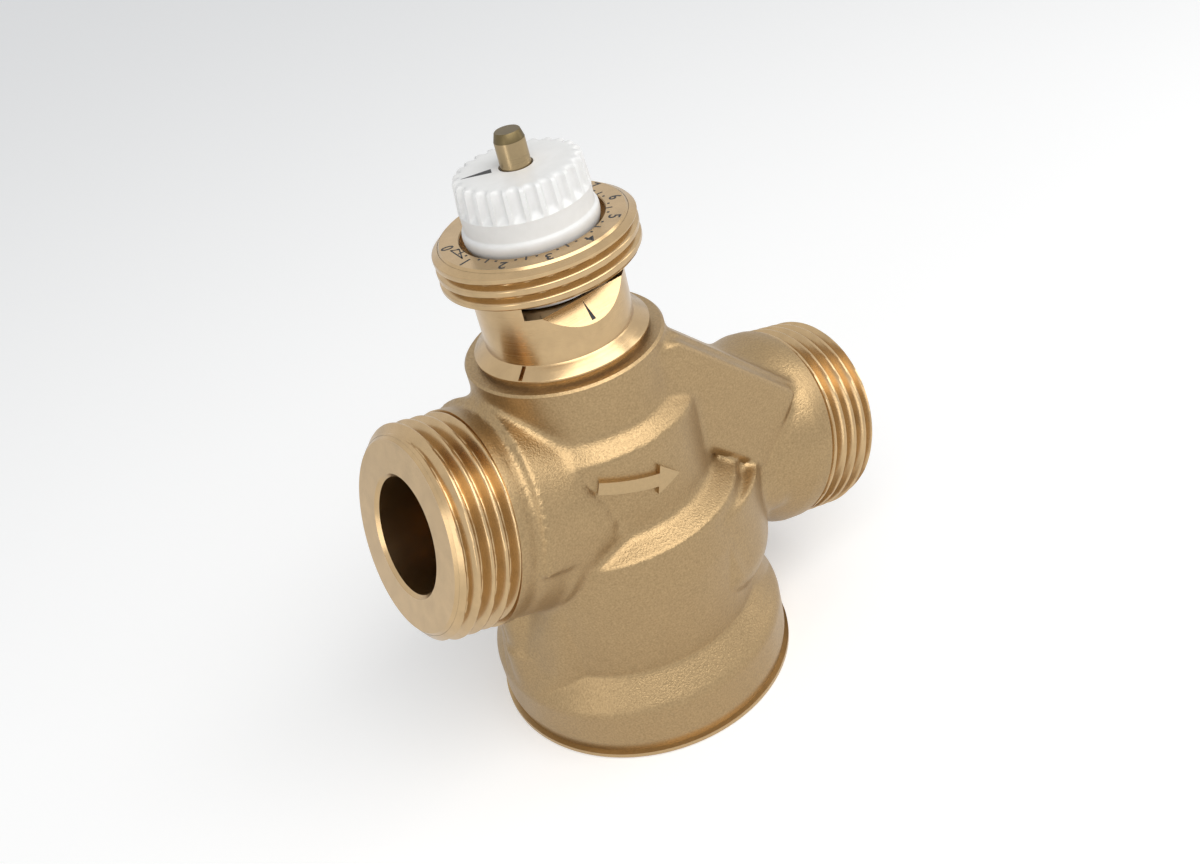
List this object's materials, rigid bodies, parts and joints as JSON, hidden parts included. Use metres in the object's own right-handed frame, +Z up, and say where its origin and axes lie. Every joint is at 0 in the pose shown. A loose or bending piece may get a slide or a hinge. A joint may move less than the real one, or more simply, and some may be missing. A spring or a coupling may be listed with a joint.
{
  "type": "pressure independent control valve",
  "caption": "Brass two-port pressure independent control valve with threaded ends, a round scale, a white setting dial and a push pin for an actuator.",
  "frame": {"origin": "centre of the resting face under the bottom lid, on the stem axis", "axes": "+Z up the stem axis to the push pin, +X towards the outlet along the level part of the flow, +Y to the back"},
  "size_m": [0.0869, 0.0506, 0.0973],
  "materials": {
    "cast_brass": "blasted casting",
    "turned_brass": "turned, satin",
    "white_plastic": "moulded, satin",
    "black_rubber": "matt",
    "steel": "bright"
  },
  "bodies": {
    "valve": {"valve_body": "cast_brass", "bottom_lid": "turned_brass", "lid_o_ring": "black_rubber", "dp_o_ring": "black_rubber", "dp_seat_ring": "steel", "dp_seat_rubber": "black_rubber", "port_ring": "turned_brass", "bonnet": "turned_brass", "bonnet_gasket": "black_rubber", "spindle_o_ring": "black_rubber"},
    "dial": {"setting_knob": "white_plastic", "setting_spindle": "turned_brass", "setting_sleeve": "turned_brass", "gland": "turned_brass", "pin_o_ring": "black_rubber"},
    "push_stem": {"actuating_pin": "turned_brass", "stem": "steel", "spring_washer": "steel", "return_spring": "steel", "control_plug": "turned_brass", "plug_seal": "black_rubber", "plug_washer": "steel", "plug_nut": "steel"},
    "controller": {"dp_cone": "steel", "clamp_washer": "steel", "clamp_screw": "steel", "diaphragm": "black_rubber", "dp_spring": "steel"}
  },
  "joints": [
    {"name": "dial_turn", "type": "hinge", "parent": "valve", "child": "dial", "pos_m": [0, 0, 0.08], "axis": [0, 0, 1], "range_deg": [-8, 292]},
    {"name": "stem_press", "type": "slide", "parent": "valve", "child": "push_stem", "axis": [0, 0, -1], "range_m": [0, 0.00395], "stiffness_N_per_m": 5000, "springref_m": -0.003, "deforming": ["return_spring"]},
    {"name": "controller_lift", "type": "slide", "parent": "valve", "child": "controller", "axis": [0, 0, 1], "range_m": [0, 0.0035], "stiffness_N_per_m": 4000, "springref_m": -0.004, "deforming": ["dp_spring", "diaphragm"]}
  ]
}
